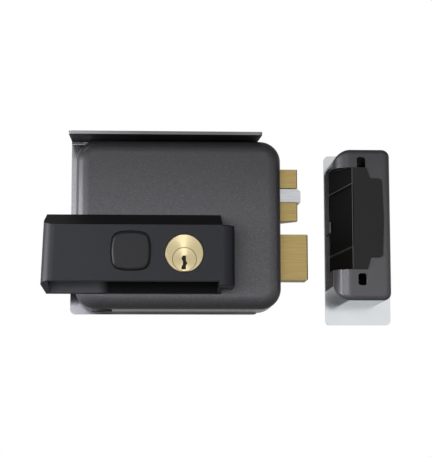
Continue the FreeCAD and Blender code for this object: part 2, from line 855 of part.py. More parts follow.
def button_face(half, grow=0):
    """The button's bowed outline, grown by grow where it is the hole for it."""
    def draw(drawing):
        bowed_square(drawing, dim.button_middle, dim.button_level, half, dim.button_side_radius + grow,
                     dim.button_corner + grow)
    return draw


def button_square(half):
    """The plainer outline of the button's flange and of the guide behind the guard's face."""
    def draw(drawing):
        rounded(drawing, dim.button_middle - half, dim.button_level - half,
                dim.button_middle + half, dim.button_level + half, dim.button_flange_corner)
    return draw


def push_button():
    body = new_body("push_button")
    half = dim.button_width / 2
    cap = front_pad(body, button_face(half), button_rear, dim.guard_depth + dim.button_proud)
    dress(body, "Fillet", dim.button_edge, edges(cap, y=-(dim.guard_depth + dim.button_proud)))
    flange_front = guard_inner_front - dim.pin_play
    front_pad(body, button_square(half + dim.button_flange), flange_front - dim.button_flange_thick,
              flange_front)
    socket = circles([(dim.button_middle, dim.button_level)], dim.pin_radius + dim.thread_fit)
    front_cut(body, socket, button_rear - MARGIN, button_rear + dim.pin_socket)


def button_pin():
    front_end = button_rear + dim.pin_socket
    pin = rod("button_pin", dim.pin_radius, front_end - pin_rear, dim.button_middle, front_end,
              dim.button_level, "y")
    NODES.append(pin)


def spring_wire(label, start, end, radius, wire, turns, along):
    """A compression spring of square wire, as a lofted helix with a flat turn's start at each end.

    start is the seat of its first turn, as (across, depth, level), and along points to the other seat.
    """
    sides_per_turn = 10
    length = abs(end - start[{"x": 0, "y": 1}[along]]) - wire
    steps = int(round(turns * sides_per_turn))
    sections = []
    for step in range(steps + 1):
        angle = 2 * math.pi * step / sides_per_turn
        lift = wire / 2 + length * step / steps
        corners = []
        for out, rise in ((-1, -1), (1, -1), (1, 1), (-1, 1)):
            reach = radius + out * wire / 2
            corners.append(Vector(reach * math.cos(angle), reach * math.sin(angle),
                                  lift + rise * wire / 2))
        sections.append(Part.makePolygon(corners + corners[:1]))
    shape = Part.makeLoft(sections, True, True)
    spring = doc.addObject("Part::Feature", label)
    spring.Shape = shape
    across, depth, level = start
    turn = {"x": Rotation(Vector(0, 1, 0), 90), "y": Rotation(Vector(1, 0, 0), 90)}[along]
    spring.Placement = Placement(Vector(across, -depth, level), turn)
    return spring


def button_spring():
    play = dim.spring_seat.value
    start = (dim.button_middle.value, dim.case_depth.value + play, dim.button_level.value)
    spring = spring_wire("button_spring", start, button_rear.value - play,
                         dim.button_spring_radius.value, dim.spring_wire.value,
                         SIZES["button_spring_turns"], "y")
    NODES.append(spring)


# Lock cylinder: fixed body, turning plug, and the pinion on the plug's tail

def cylinder_body():
    body = new_body("cylinder_body")
    place_body(body, dim.cylinder_middle, 0, dim.cylinder_level)
    front_end = dim.guard_depth + dim.cylinder_proud
    barrel = front_pad(body, circles([(0, 0)], dim.cylinder_radius), dim.cylinder_rear, front_end)
    dress(body, "Chamfer", dim.cylinder_chamfer, edges(barrel, y=-front_end))
    front_pad(body, circles([(0, 0)], dim.cylinder_flange_radius),
              case_inner_front - dim.cylinder_flange_thick, case_inner_front)
    bore = circles([(0, -dim.plug_drop)], dim.plug_radius + dim.plug_fit)
    front_cut(body, bore, dim.cylinder_rear - MARGIN, front_end + MARGIN)
    holes = circles([(-cylinder_screw_reach, cylinder_screw_level - dim.cylinder_level),
                     (cylinder_screw_reach, cylinder_screw_level - dim.cylinder_level)],
                    dim.guard_screw_radius + dim.rod_fit)
    front_cut(body, holes, dim.cylinder_rear, case_inner_front + MARGIN)


def cylinder_plug():
    body = new_body("cylinder_plug")
    place_body(body, dim.cylinder_middle, 0, plug_level)
    front_end = dim.guard_depth + dim.cylinder_proud
    front_pad(body, circles([(0, 0)], dim.plug_radius), dim.plug_rear, front_end)
    front_pad(body, circles([(0, 0)], dim.tail_radius), dim.tail_rear, dim.plug_rear)
    keyway = sketch(body, "FRONT", front_end - dim.key_slot_deep)
    half = dim.key_slot / 2
    high = dim.key_slot_high
    top = dim.key_slot_high * 0.28
    polygon(keyway, [
        (-half, top),
        (-half * 2, top - high * 0.22),
        (-half, top - high * 0.42),
        (-half, top - high * 0.62),
        (-half * 2, top - high * 0.8),
        (-half * 2, top - high),
        (half, top - high),
        (half, top - high * 0.72),
        (half * 2, top - high * 0.55),
        (half, top - high * 0.36),
        (half, top),
    ])
    cut(body, keyway, dim.key_slot_deep + MARGIN)
    slot_half = dim.tail_slot / 2
    tail_slot = sketch(body, "FRONT", dim.tail_rear - MARGIN)
    rectangle(tail_slot, -slot_half, -dim.tail_radius - MARGIN, slot_half, dim.tail_radius + MARGIN)
    cut(body, tail_slot, dim.tail_slot_deep + MARGIN)


def involute(angle):
    """The involute of an angle in radians."""
    return math.tan(angle) - angle


def gear_outline(teeth, pitch_radius, module, pressure, addendum, dedendum, backlash):
    """Corners of a spur gear with its first tooth pointing up, from true involute flanks."""
    base_radius = pitch_radius * math.cos(pressure)
    tip_radius = pitch_radius + addendum * module
    root_radius = pitch_radius - dedendum * module
    half_tooth = (math.pi * module - backlash) / 4 / pitch_radius
    flank_steps = 4
    start_radius = max(base_radius, root_radius)
    flank = []
    for step in range(flank_steps + 1):
        radius = start_radius + (tip_radius - start_radius) * step / flank_steps
        angle = half_tooth + involute(pressure) - involute(math.acos(min(1, base_radius / radius)))
        flank.append((radius, angle))
    corners = []
    for tooth in range(teeth):
        middle = math.pi / 2 - 2 * math.pi * tooth / teeth
        root_angle = flank[0][1]
        points = [(root_radius, middle + root_angle)] if root_radius < base_radius else []
        points += [(radius, middle + angle) for radius, angle in flank]
        points += [(radius, middle - angle) for radius, angle in reversed(flank)]
        points += [(root_radius, middle - root_angle)] if root_radius < base_radius else []
        corners += [Vector(radius * math.cos(angle), 0, radius * math.sin(angle))
                    for radius, angle in points]
    return corners


def plug_gear():
    """The pinion, pressed on the plug's tail. Its hub keeps the plug in the cylinder."""
    corners = gear_outline(SIZES["gear_teeth"], gear_pitch_radius.value, dim.gear_module.value,
                           math.radians(dim.gear_angle.value), dim.gear_addendum.value,
                           dim.gear_dedendum.value, dim.gear_backlash.value)
    face = Part.Face(Part.makePolygon(corners + corners[:1]))
    forward = Vector(0, -1, 0)
    wheel = face.extrude(forward * dim.gear_wide.value)
    hub_front = dim.cylinder_rear.value - dim.gear_play.value
    hub_length = hub_front - dim.gear_rear.value - dim.gear_wide.value
    hub = Part.makeCylinder(dim.gear_hub_radius.value, hub_length,
                            forward * dim.gear_wide.value, forward)
    length = hub_front - dim.gear_rear.value
    bore = Part.makeCylinder(dim.tail_radius.value + dim.thread_fit.value, length + 2 * MARGIN,
                             Vector(0, MARGIN, 0), forward)
    gear = doc.addObject("Part::Feature", "plug_gear")
    gear.Shape = wheel.fuse(hub).cut(bore).removeSplitter()
    gear.Placement = Placement(
        Vector(dim.cylinder_middle.value, -dim.gear_rear.value, plug_level.value), Rotation())
    NODES.append(gear)


# Deadbolt: a brass head on a tail that carries the rack

def deadbolt():
    body = new_body("deadbolt")
    place_body(body, 0, dim.bolt_rear, 0)
    top = dim.deadbolt_low + dim.deadbolt_high
    head_left = deadbolt_tip - dim.deadbolt_head
    rack_tips = rack_pitch_line - dim.gear_addendum * dim.gear_module

    def bolt_head(drawing):
        rectangle(drawing, head_left, dim.deadbolt_low, deadbolt_tip, top)

    def bolt_tail(drawing):
        rectangle(drawing, dim.deadbolt_tail_end, rack_tips, head_left, dim.deadbolt_tail_top)

    head = front_pad(body, bolt_head, 0, dim.bolt_thick)
    dress(body, "Fillet", dim.deadbolt_edge, edges(head, x=deadbolt_tip))
    front_pad(body, bolt_tail, 0, dim.bolt_thick)
    slot_left = dim.guide_pin_across - dim.guide_pin_radius - dim.guide_pin_fit
    slot_right = dim.guide_pin_across + dim.guide_pin_radius + dim.guide_pin_fit + deadbolt_throw
    slot_half = dim.guide_pin_radius + dim.guide_pin_fit

    def guide_slot(drawing):
        rounded(drawing, slot_left, dim.guide_pin_level - slot_half, slot_right,
                dim.guide_pin_level + slot_half, slot_half - 0.01)

    front_cut(body, guide_slot, -MARGIN, dim.bolt_thick + MARGIN)
    rack_teeth(body, head_left)


def rack_teeth(body, head_left):
    """Cut the rack's gaps into the tail's lower edge, one of them over the pinion's upright tooth."""
    pitch = dim.gear_module * math.pi
    slope = tangent(dim.gear_angle)
    gap_half = (pitch + dim.gear_backlash) / 4
    root = rack_pitch_line + dim.gear_dedendum * dim.gear_module
    tips = rack_pitch_line - dim.gear_addendum * dim.gear_module
    root_half = gap_half - dim.gear_dedendum * dim.gear_module * slope
    tip_half = gap_half + (dim.gear_addendum * dim.gear_module + MARGIN) * slope
    gaps_left = int(round(SIZES["rack_gaps_left"]))
    first = dim.cylinder_middle - pitch * gaps_left
    tooth_gap = sketch(body, "FRONT", -MARGIN)
    polygon(tooth_gap, [
        (first - tip_half, tips - MARGIN),
        (first + tip_half, tips - MARGIN),
        (first + root_half, root),
        (first - root_half, root),
    ])
    gap = cut(body, tooth_gap, dim.bolt_thick + 2 * MARGIN)
    count = 2 * gaps_left + 1 + int(SIZES["gear_teeth"]) // 2
    row = body.newObject("PartDesign::LinearPattern", "RackPattern")
    row.Originals = [gap]
    row.Direction = (tooth_gap, ["H_Axis"])
    row.Occurrences = count
    bind(row, "Length", pitch * (count - 1))
    body.Tip = row
    doc.recompute()


def guide_pin():
    """The headed pin in the base that the deadbolt's slot runs on."""
    body = new_body("deadbolt_guide_pin")
    place = [(dim.guide_pin_across, dim.guide_pin_level)]
    head_rear = bolt_front + dim.guide_pin_fit
    front_pad(body, circles(place, dim.guide_pin_radius), plate_front + MARGIN, head_rear + MARGIN)
    front_pad(body, circles(place, dim.guide_pin_head), head_rear, head_rear + dim.guide_pin_radius)


# Latch: two brass prongs on a bridge, two guide rods with springs, and the cocking bolt between them

def latch_bolt():
    body = new_body("latch_bolt")
    place_body(body, 0, dim.bolt_rear, 0)
    bridge_right = dim.latch_bridge_left + dim.latch_bridge

    def block(drawing):
        rectangle(drawing, dim.latch_bridge_left, dim.latch_low, latch_tip, latch_top)

    def gap(drawing):
        rectangle(drawing, bridge_right, dim.latch_slot_low, latch_tip + MARGIN, latch_slot_top)

    solid = front_pad(body, block, 0, dim.bolt_thick)
    dress(body, "Fillet", dim.latch_edge, edges(solid, "z", x=latch_tip, y=-dim.bolt_thick))
    front_cut(body, gap, -MARGIN, dim.bolt_thick + MARGIN)
    bevel_deep = dim.bolt_thick - dim.latch_nose
    bevel = sketch(body, "PLAN", dim.latch_low - MARGIN)
    polygon(bevel, [
        (latch_tip - bevel_deep - MARGIN, MARGIN),
        (latch_tip + MARGIN, MARGIN),
        (latch_tip + MARGIN, -bevel_deep - MARGIN),
    ])
    cut(body, bevel, dim.latch_high + 2 * MARGIN)
    rod_way = sketch(body, "SIDE", dim.latch_bridge_left - MARGIN)
    circle(rod_way, -dim.bolt_thick / 2, cocking_level, dim.rod_radius + dim.rod_fit * 2)
    cut(body, rod_way, dim.latch_bridge + 2 * MARGIN)


def latch_rods():
    rods = []
    for name, level in (("rod_low", dim.latch_rod_low), ("rod_high", dim.latch_rod_high)):
        rods.append(rod(name, dim.rod_radius, dim.latch_bridge_left - dim.rod_end, dim.rod_end,
                        bolt_axis, level, "x"))
    group("latch_rods", rods)


def latch_springs():
    play = dim.spring_seat.value
    springs = []
    for name, level in (("spring_low", dim.latch_rod_low), ("spring_high", dim.latch_rod_high)):
        start = (bracket_right.value + play, bolt_axis.value, level.value)
        springs.append(spring_wire(name, start, dim.latch_bridge_left.value - play,
                                   dim.latch_spring_radius.value, dim.spring_wire.value,
                                   SIZES["latch_spring_turns"], "x"))
    group("latch_springs", springs)


def cocking_bolt():
    body = new_body("cocking_bolt")
    place_body(body, 0, bolt_axis, 0)
    half_thick = dim.cocking_thick / 2
    left = cocking_tip - dim.cocking_length

    def bar(drawing):
        rectangle(drawing, left, cocking_level - cocking_half, cocking_tip, cocking_level + cocking_half)

    solid = front_pad(body, bar, -half_thick, half_thick)
    dress(body, "Chamfer", dim.cocking_bevel, edges(solid, "y", x=cocking_tip, z=cocking_level + cocking_half))
    stem = sketch(body, "SIDE", dim.rod_end)
    circle(stem, 0, cocking_level, dim.rod_radius)
    pad(body, stem, left - dim.rod_end + MARGIN)


def cocking_collar():
    body = new_body("cocking_collar")
    ring = sketch(body, "SIDE", dim.collar_right - dim.collar_thick)
    circle(ring, -bolt_axis, cocking_level, dim.collar_radius)
    circle(ring, -bolt_axis, cocking_level, dim.rod_radius + dim.thread_fit)
    pad(body, ring, dim.collar_thick)


def cocking_spring():
    play = dim.spring_seat.value
    start = (bracket_right.value + play, bolt_axis.value, cocking_level.value)
    spring = spring_wire("cocking_spring", start,
                         dim.collar_right.value - dim.collar_thick.value - play,
                         dim.cocking_spring_radius.value, dim.spring_wire.value,
                         SIZES["cocking_spring_turns"], "x")
    NODES.append(spring)


def spring_bracket():
    """The bent steel bracket that the bolt springs push against."""
    body = new_body("spring_bracket")
    top = dim.bracket_low + dim.bracket_high
    plan = sketch(body, "PLAN", dim.bracket_low)
    foot_left = dim.bracket_left - dim.bracket_foot
    polygon(plan, [
        (bracket_right, -base_front),
        (bracket_right, -bolt_front),
        (dim.bracket_left, -bolt_front),
        (dim.bracket_left, -base_front - dim.bracket_thick),
        (foot_left, -base_front - dim.bracket_thick),
        (foot_left, -base_front),
    ])
    pad(body, plan, top - dim.bracket_low)
    holes = sketch(body, "SIDE", dim.bracket_left - MARGIN)
    for level in (dim.latch_rod_low, cocking_level, dim.latch_rod_high):
        circle(holes, -bolt_axis, level, dim.rod_radius + dim.rod_fit)
    cut(body, holes, dim.bracket_thick + 2 * MARGIN)


# Electromagnet: bent yoke with core, bobbin, winding and a hinged armature

def magnet_yoke():
    body = new_body("magnet_yoke")
    place_body(body, dim.coil_middle, 0, 0)
    leg_top = dim.yoke_leg + dim.yoke_thick
    side = sketch(body, "SIDE", -dim.yoke_half)
    polygon(side, [
        (-base_front, dim.yoke_low),
        (-base_front, leg_top),
        (-dim.yoke_leg_front, leg_top),
        (-dim.yoke_leg_front, dim.yoke_leg),
        (-base_front - dim.yoke_thick, dim.yoke_leg),
        (-base_front - dim.yoke_thick, dim.yoke_low),
    ])
    pad(body, side, 2 * dim.yoke_half)
    ear_outer = dim.yoke_half
    ear_round = dim.hinge_pin_radius + dim.yoke_thick
    for start in (-ear_outer, ear_outer - dim.hinge_ear):
        ear = sketch(body, "SIDE", start)
        polygon(ear, [
            (-base_front - dim.yoke_leg_front / 2, leg_top - MARGIN),
            (-base_front - dim.yoke_leg_front / 2, leg_top),
            (-dim.hinge_depth + ear_round, dim.hinge_level + ear_round),
            (-dim.hinge_depth - ear_round, dim.hinge_level + ear_round),
            (-dim.hinge_depth - ear_round, dim.hinge_level - dim.hinge_pin_radius),
            (-dim.yoke_leg_front, leg_top - MARGIN),
        ])
        pad(body, ear, dim.hinge_ear)
    pin_hole = sketch(body, "SIDE", -ear_outer - MARGIN)
    circle(pin_hole, -dim.hinge_depth, dim.hinge_level, dim.hinge_pin_radius + dim.thread_fit)
    cut(body, pin_hole, 2 * (ear_outer + MARGIN))
    core = circles([(0, dim.coil_level)], dim.core_radius)
    front_pad(body, core, base_front + dim.yoke_thick / 2, dim.core_front)


def coil_bobbin():
    body = new_body("coil_bobbin")
    place_body(body, dim.coil_middle, 0, dim.coil_level)
    rear = base_front + dim.yoke_thick
    centre = [(0, 0)]
    front_pad(body, circles(centre, dim.bobbin_radius), rear, rear + dim.bobbin_flange)
    front_pad(body, circles(centre, dim.bobbin_tube), rear + dim.bobbin_flange / 2,
              dim.bobbin_front - dim.bobbin_flange / 2)
    front_pad(body, circles(centre, dim.bobbin_radius), dim.bobbin_front - dim.bobbin_flange,
              dim.bobbin_front)
    front_cut(body, circles(centre, dim.core_radius + dim.rod_fit), rear - MARGIN,
              dim.bobbin_front + MARGIN)


def coil_winding():
    body = new_body("coil_winding")
    place_body(body, dim.coil_middle, 0, dim.coil_level)
    rear = base_front + dim.yoke_thick + dim.bobbin_flange

    def draw(drawing):
        circle(drawing, 0, 0, dim.coil_radius)
        circle(drawing, 0, 0, dim.bobbin_tube + dim.thread_fit)
    front_pad(body, draw, rear, dim.bobbin_front - dim.bobbin_flange)


def hinge_pin():
    length = 2 * dim.yoke_half
    pin = rod("armature_pin", dim.hinge_pin_radius, length, dim.coil_middle - dim.yoke_half,
              dim.hinge_depth, dim.hinge_level, "x")
    NODES.append(pin)


def armature_lever():
    """The hinged armature, drawn out into an arm under the button's pin."""
    body = new_body("armature_lever")
    half = dim.yoke_half - dim.hinge_ear - dim.hinge_side_play
    left = dim.coil_middle - half
    right = dim.coil_middle + half
    arm_top = dim.armature_end + dim.armature_arm

    def plate(drawing):
        polygon(drawing, [
            (left, dim.hinge_level),
            (left, dim.armature_end),
            (dim.armature_arm_right, dim.armature_end),
            (dim.armature_arm_right, arm_top),
            (right, arm_top),
            (right, dim.hinge_level),
        ])

    front_pad(body, plate, armature_rear, armature_front)
    barrel = sketch(body, "SIDE", left)
    circle(barrel, -dim.hinge_depth, dim.hinge_level, dim.hinge_pin_radius + dim.armature_thick * 0.7)
    pad(body, barrel, right - left)
    bore = sketch(body, "SIDE", left - MARGIN)
    circle(bore, -dim.hinge_depth, dim.hinge_level, dim.hinge_pin_radius + dim.hinge_fit)
    cut(body, bore, right - left + 2 * MARGIN)


# Wiring: terminal block and rubber cable inlet

def terminal_block():
    body = new_body("terminal_block")
    right = dim.terminal_left + dim.terminal_width
    top = terminal_low + dim.terminal_high

    def block(drawing):
        rectangle(drawing, dim.terminal_left, terminal_low, right, top)

    front_pad(body, block, base_front, base_front + dim.terminal_thick)
    front_end = base_front + dim.terminal_thick
    screw_wells = circles(terminal_places(), dim.terminal_screw_radius + dim.rod_fit)
    front_cut(body, screw_wells, front_end - dim.terminal_screw_radius, front_end + MARGIN)
    wire_holes = sketch(body, "PLAN", terminal_low - MARGIN)
    for across, _ in terminal_places():
        circle(wire_holes, across, -(base_front + dim.terminal_thick / 2), dim.terminal_screw_radius)
    cut(body, wire_holes, dim.terminal_high / 2)


def terminal_places():
    """Centres of the block's clamping screws."""
    ways = int(SIZES["terminal_ways"])
    pitch = dim.terminal_width / ways
    level = terminal_low + dim.terminal_high / 2
    return [(dim.terminal_left + pitch * (way + 0.5), level) for way in range(ways)]


def terminal_screws():
    body = new_body("terminal_screws", separate=True)
    front_end = base_front + dim.terminal_thick
    front_pad(body, circles(terminal_places(), dim.terminal_screw_radius),
              front_end - dim.terminal_screw_radius, front_end)


def cable_gland():
    """A rubber sleeve with a flange under the case and a smaller one inside."""
    body = new_body("cable_gland")
    place_body(body, dim.gland_across, gland_depth, case_low)
    below = sketch(body, "PLAN", -dim.gland_flange_thick)
    circle(below, 0, 0, dim.gland_flange)
    flange = pad(body, below, dim.gland_flange_thick)
    dress(body, "Fillet", dim.gland_flange_thick / 2, edges(flange, z=-dim.gland_flange_thick))
    sleeve = sketch(body, "PLAN", -dim.gland_flange_thick / 2)
    circle(sleeve, 0, 0, dim.gland_hole)
    pad(body, sleeve, dim.gland_flange_thick / 2 + dim.case_wall + dim.gland_inner)
    bore = sketch(body, "PLAN", -dim.gland_flange_thick - MARGIN)
    circle(bore, 0, 0, dim.gland_bore)
    cut(body, bore, dim.gland_flange_thick + dim.case_wall + dim.gland_inner + 2 * MARGIN)


def fasteners():
    """Screws of the case, the guard and the cylinder."""
    head_end = plate_front + dim.case_screw_head_high
    screw_set("case_screws", screw_posts, plate_front, dim.case_screw_head_high, dim.case_screw_head,
              dim.case_screw_radius, head_end + dim.case_screw_length)
    screw_end = dim.case_depth + dim.guard_screw_length - MARGIN
    screw_set("guard_screws", guard_bosses, case_inner_front - dim.guard_screw_head_high,
              dim.guard_screw_head_high, dim.guard_screw_head, dim.guard_screw_radius, screw_end)
    flange_rear = case_inner_front - dim.cylinder_flange_thick
    screw_set("cylinder_screws", cylinder_screws, flange_rear - dim.guard_screw_head_high,
              dim.guard_screw_head_high, dim.guard_screw_head - dim.rod_fit, dim.guard_screw_radius,
              screw_end)


# Keeper: zinc plate, painted box and the black lead-in insert

def keeper_slots(corner):
    """The two upright slots that the keeper's fixing screws are reached and set through."""
    half_wide = dim.slot_wide / 2
    half_high = dim.slot_high / 2

    def draw(drawing):
        for level in (slot_upper, slot_lower):
            rounded(drawing, slot_across - half_wide, level - half_high,
                    slot_across + half_wide, level + half_high, corner)
    return draw


box_posts = [(box_post_across, box_post_upper), (box_post_across, box_post_lower)]


def keeper_plate():
    body = new_body("keeper_plate")

    def outline(drawing):
        rounded(drawing, dim.keeper_left, dim.keeper_low, dim.keeper_right, dim.keeper_top,
                dim.keeper_corner)

    front_pad(body, outline, 0, dim.keeper_plate)
    front_cut(body, keeper_slots(dim.slot_wide / 2 - 0.01), -MARGIN, dim.keeper_plate + MARGIN)
    clearance = dim.guard_screw_radius + dim.rod_fit
    front_cut(body, circles(box_posts, clearance), -MARGIN, dim.keeper_plate + MARGIN)
    counterbore = dim.guard_screw_head + dim.rod_fit
    front_cut(body, circles(box_posts, counterbore), -MARGIN, dim.guard_screw_head_high)


def keeper_box():
    body = new_body("keeper_box")
    plan = sketch(body, "PLAN", dim.box_low)
    rectangle(plan, dim.box_left, -dim.box_depth, dim.box_right, -dim.keeper_plate)
    block = pad(body, plan, dim.box_top - dim.box_low)
    block = dress(body, "Fillet", dim.box_lead_radius, edges(block, "z", x=dim.box_left, y=-dim.box_depth))
    block = dress(body, "Fillet", dim.box_side_radius, edges(block, "z", x=dim.box_right, y=-dim.box_depth))

    def corners(drawing):
        rectangle(drawing, dim.box_left - MARGIN, dim.box_low - MARGIN, dim.box_right + MARGIN,
                  dim.box_top + MARGIN)
        rounded(drawing, dim.box_left, dim.box_low, dim.box_right, dim.box_top, dim.box_side_corner,
                dim.box_lead_corner)

    block = front_cut(body, corners, dim.keeper_plate - MARGIN, dim.box_depth + MARGIN)
    rim = []
    for level in (dim.box_low, dim.box_top):
        rim += [name for name in edges(block, z=level) if name not in edges(block, y=-dim.keeper_plate)]
    dress(body, "Fillet", dim.box_edge, rim)

    inner_radius = dim.box_lead_radius - dim.box_wall
    inner_left = dim.box_left + dim.box_wall
    inner_right = dim.box_right - dim.box_wall
    rear = MARGIN - dim.keeper_plate

    def beside_round(drawing):
        rectangle(drawing, inner_left + inner_radius, -box_inner_front, inner_right, rear)

    def behind_round(drawing):
        rectangle(drawing, inner_left, inner_radius - box_inner_front, inner_right, rear)

    def lead_round(drawing):
        circle(drawing, inner_left + inner_radius, inner_radius - box_inner_front, inner_radius)

    for draw, inset in ((beside_round, 0), (behind_round, dim.box_lead_inset), (lead_round, dim.box_lead_inset)):
        margin = dim.box_wall + inset
        hollow = sketch(body, "PLAN", dim.box_low + margin)
        draw(hollow)
        cut(body, hollow, dim.box_top - dim.box_low - 2 * margin)
    front_pad(body, circles(box_posts, dim.boss_radius), dim.keeper_plate,
              box_inner_front + dim.box_wall / 2)
    thread = circles(box_posts, dim.guard_screw_radius + dim.thread_fit)
    front_cut(body, thread, dim.keeper_plate - MARGIN, dim.keeper_plate + dim.guard_screw_length + MARGIN)
    front_cut(body, keeper_slots(dim.slot_corner), box_inner_front - MARGIN, dim.box_depth + MARGIN)
    insert_opening(body)
    keeper_windows(body)


def insert_opening(body):
    """The cut-out that the insert sits in, in the box's front and in its left wall."""
    def face(drawing):
        insert_outline(drawing, dim.insert_fit, dim.box_left - MARGIN)

    opened = front_cut(body, face, box_inner_front - MARGIN, dim.box_depth + MARGIN)
    insert_corners(body, opened, dim.insert_fit)

    def flank(drawing):
        rectangle(drawing, dim.box_left - MARGIN, dim.insert_low - dim.insert_fit,
                  dim.insert_ridge, dim.insert_top + dim.insert_fit)

    front_cut(body, flank, dim.insert_rear - dim.insert_fit, dim.box_depth + MARGIN)


def keeper_windows(body):
    """Pockets in the box's left wall for the deadbolt and for the latch."""
    windows = sketch(body, "SIDE", dim.box_left - MARGIN)
    rear = -dim.pocket_rear
    front = -(dim.insert_rear - dim.insert_fit)
    margin = dim.window_margin
    deadbolt_top = dim.deadbolt_low + dim.deadbolt_high
    rectangle(windows, front, dim.deadbolt_low - margin, rear, deadbolt_top + margin)
    rectangle(windows, front, dim.latch_low - margin, rear, latch_top + margin)
    cut(body, windows, dim.box_wall + 2 * MARGIN)


def insert_outline(drawing, grow, left):
    """The insert's face: a neck above and below a wider middle."""
    polygon(drawing, [
        (left, dim.insert_top + grow),
        (dim.insert_neck + grow, dim.insert_top + grow),
        (dim.insert_shoulder + grow, dim.insert_bulge_top + grow),
        (dim.insert_right + grow, dim.insert_bulge_top + grow),
        (dim.insert_right + dim.insert_bow + grow, (dim.insert_bulge_top + dim.insert_bulge_low) / 2),
        (dim.insert_right + grow, dim.insert_bulge_low - grow),
        (dim.insert_shoulder + grow, dim.insert_bulge_low - grow),
        (dim.insert_neck + grow, dim.insert_low - grow),
        (left, dim.insert_low - grow),
    ])


def insert_corners(body, feature, grow):
    """Round the corners of the insert's wide middle, or of the cut-out that it sits in."""
    corners = []
    for level in (dim.insert_bulge_top + grow, dim.insert_bulge_low - grow):
        corners += edges(feature, "y", x=dim.insert_right + grow, z=level)
    dress(body, "Fillet", dim.insert_corner + grow, corners)


def keeper_insert():
    """The black lead-in: its ramp pushes the latch back as the gate closes."""
    body = new_body("keeper_insert")
    core_front = box_inner_front - dim.insert_fit
    inner_right = dim.box_right - dim.box_wall - dim.insert_fit

    def core(drawing):
        rectangle(drawing, dim.box_left, dim.insert_low, inner_right, dim.insert_top)

    def face(drawing):
        insert_outline(drawing, 0, dim.box_left)

    front_pad(body, core, dim.insert_rear, core_front)
    raised = front_pad(body, face, core_front - MARGIN, insert_front)
    insert_corners(body, raised, as_size(0))
    ramp = sketch(body, "PLAN", dim.insert_low - MARGIN)
    polygon(ramp, [
        (dim.box_left - MARGIN, -dim.insert_rear),
        (dim.box_left, -dim.insert_rear),
        (dim.insert_ridge, -insert_front),
        (dim.insert_ridge, -insert_front - MARGIN),
        (dim.box_left - MARGIN, -insert_front - MARGIN),
    ])
    cut(body, ramp, dim.insert_top - dim.insert_low + 2 * MARGIN)
    insert_step(body)


def insert_step(body):
    """A shallow step in the ramp, between two edges that slant down towards its rear."""
    rise = insert_front - dim.insert_rear
    run = dim.insert_ridge - dim.box_left
    slope = Size(math.degrees(math.atan2(rise.value, run.value)),
                 "(atan2(%s; %s) / 1deg)" % (rise.text, run.text))
    step = sketch(body, "FRONT", dim.insert_rear)
    step.AttachmentOffset = Placement(Vector(), Rotation(Vector(0, -1, 0), slope.value))
    bind(step, "AttachmentOffset.Rotation.Angle", slope)
    bind(step, "AttachmentOffset.Base.x", dim.box_left + dim.insert_step * sine(slope))
    bind(step, "AttachmentOffset.Base.z", dim.insert_rear - dim.insert_step * cosine(slope))
    length = rise / sine(slope)
    lean = dim.insert_step_lean
    over = MARGIN / length.value
    polygon(step, [
        (length * -over, dim.insert_step_low - lean * (1 + over)),
        (length * (1 + over), dim.insert_step_low + lean * over),
        (length * (1 + over), dim.insert_step_top + lean * over),
        (length * -over, dim.insert_step_top - lean * (1 + over)),
    ])
    cut(body, step, dim.insert_step + MARGIN)


def keeper_screws():
    screw_set("keeper_screws", box_posts, 0, dim.guard_screw_head_high, dim.guard_screw_head,
              dim.guard_screw_radius, dim.keeper_plate + dim.guard_screw_length)


mounting_plate()
lock_base()
case_cover()
bolt_guide()
guard_cover()
push_button()
button_pin()
button_spring()
cylinder_body()
cylinder_plug()
plug_gear()
deadbolt()
guide_pin()
latch_bolt()
latch_rods()
latch_springs()
cocking_bolt()
cocking_collar()
cocking_spring()
spring_bracket()
magnet_yoke()
coil_bobbin()
coil_winding()
hinge_pin()
armature_lever()
terminal_block()
terminal_screws()
cable_gland()
fasteners()
keeper_plate()
keeper_box()
keeper_insert()
keeper_screws()

doc.recompute()
for item in doc.Objects:
    if "Invalid" in item.State or "Error" in item.State:
        raise RuntimeError("%s failed: %s" % (item.Label, item.State))
for node in NODES:
    if node.Shape.isNull() or not node.Shape.isValid() or not node.Shape.Solids:
        raise RuntimeError("%s has no valid solid" % node.Label)

os.makedirs("parts", exist_ok=True)
for node in NODES:
    node.Shape.exportStep("parts/%s.step" % node.Label)
    print(node.Label, len(node.Shape.Solids), round(node.Shape.Volume, 1))
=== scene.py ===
import math

import bpy
from mathutils import Matrix, Vector


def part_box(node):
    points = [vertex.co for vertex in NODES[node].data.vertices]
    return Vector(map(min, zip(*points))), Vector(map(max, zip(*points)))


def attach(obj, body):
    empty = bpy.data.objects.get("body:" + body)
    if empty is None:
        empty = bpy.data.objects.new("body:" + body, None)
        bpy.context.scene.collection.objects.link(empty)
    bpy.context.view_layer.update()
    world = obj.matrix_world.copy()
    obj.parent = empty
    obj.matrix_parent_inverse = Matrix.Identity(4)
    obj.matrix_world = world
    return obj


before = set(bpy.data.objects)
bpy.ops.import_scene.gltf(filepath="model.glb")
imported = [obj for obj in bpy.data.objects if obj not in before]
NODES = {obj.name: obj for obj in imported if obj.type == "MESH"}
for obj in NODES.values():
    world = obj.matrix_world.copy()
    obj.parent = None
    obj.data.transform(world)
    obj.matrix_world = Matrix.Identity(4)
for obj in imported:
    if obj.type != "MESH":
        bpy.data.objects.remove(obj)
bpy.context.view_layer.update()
MM = 0.001

scene = bpy.context.scene
scene.view_settings.view_transform = "Standard"


# Shader nodes

# The Mix node names the sockets of all its forms alike, so those of its colour form go by number
MIX_FIRST = 6
MIX_SECOND = 7
MIX_RESULT = 2


def srgb(red, green, blue):
    """Linear colour of an 8-bit display colour."""
    linear = []
    for value in (red, green, blue):
        value = value / 255
        linear.append(value / 12.92 if value <= 0.04045 else ((value + 0.055) / 1.055) ** 2.4)
    return (*linear, 1.0)


def grey(level):
    return (level, level, level, 1.0)


